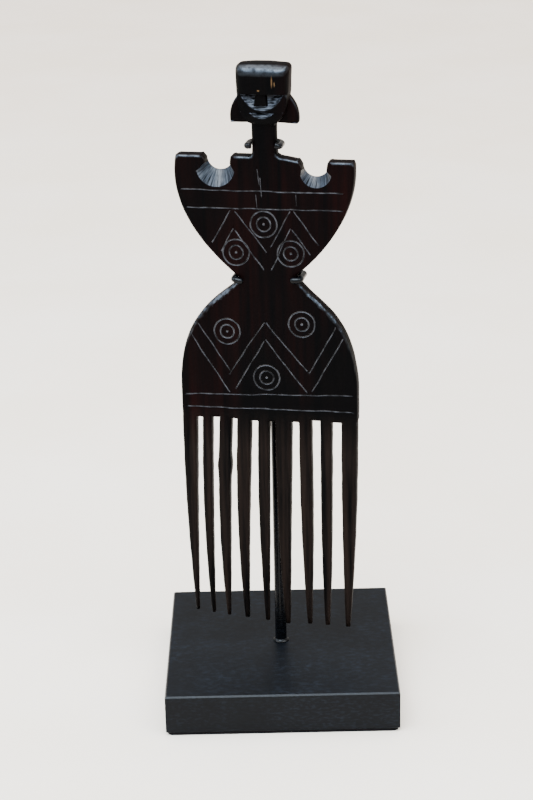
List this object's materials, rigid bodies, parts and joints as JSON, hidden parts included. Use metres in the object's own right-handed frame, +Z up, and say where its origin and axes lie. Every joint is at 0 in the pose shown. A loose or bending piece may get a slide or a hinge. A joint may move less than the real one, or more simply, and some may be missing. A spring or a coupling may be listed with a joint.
{
  "type": "decorative hair comb",
  "caption": "Carved dark-wood hair comb with a stylised head, narrow waist and long teeth, held by bent wire claws on a rod that swivels in a square display base.",
  "frame": {"origin": "centre of the stand's underside, on the rod's axis, where the part rests", "axes": "+Z up along the rod, +X to the right along the base's front edge, the front of the base faces -Y"},
  "size_m": [0.08, 0.08, 0.2239],
  "materials": {
    "carved_ebony": "hand-polished, semi-gloss, with fine upright reddish-brown grain and pale scratched engraving",
    "black_painted_wood": "satin black paint over fine grain, slightly worn along the edges",
    "black_painted_steel": "satin black paint",
    "black_felt": "matte pressed felt",
    "bright_steel": "zinc-plated steel"
  },
  "bodies": {
    "stand": {"base_block": "black_painted_wood", "felt_pad": "black_felt", "washer": "bright_steel"},
    "swivel": {"support_rod": "black_painted_steel", "fixing_nut": "bright_steel", "waist_claw": "black_painted_steel", "neck_claw": "black_painted_steel", "comb": "carved_ebony"}
  },
  "joints": [
    {"name": "rod_swivel", "type": "hinge", "parent": "stand", "child": "swivel", "pos_m": [0, 0, 0.015], "axis": [0, 0, 1], "continuous": true}
  ]
}
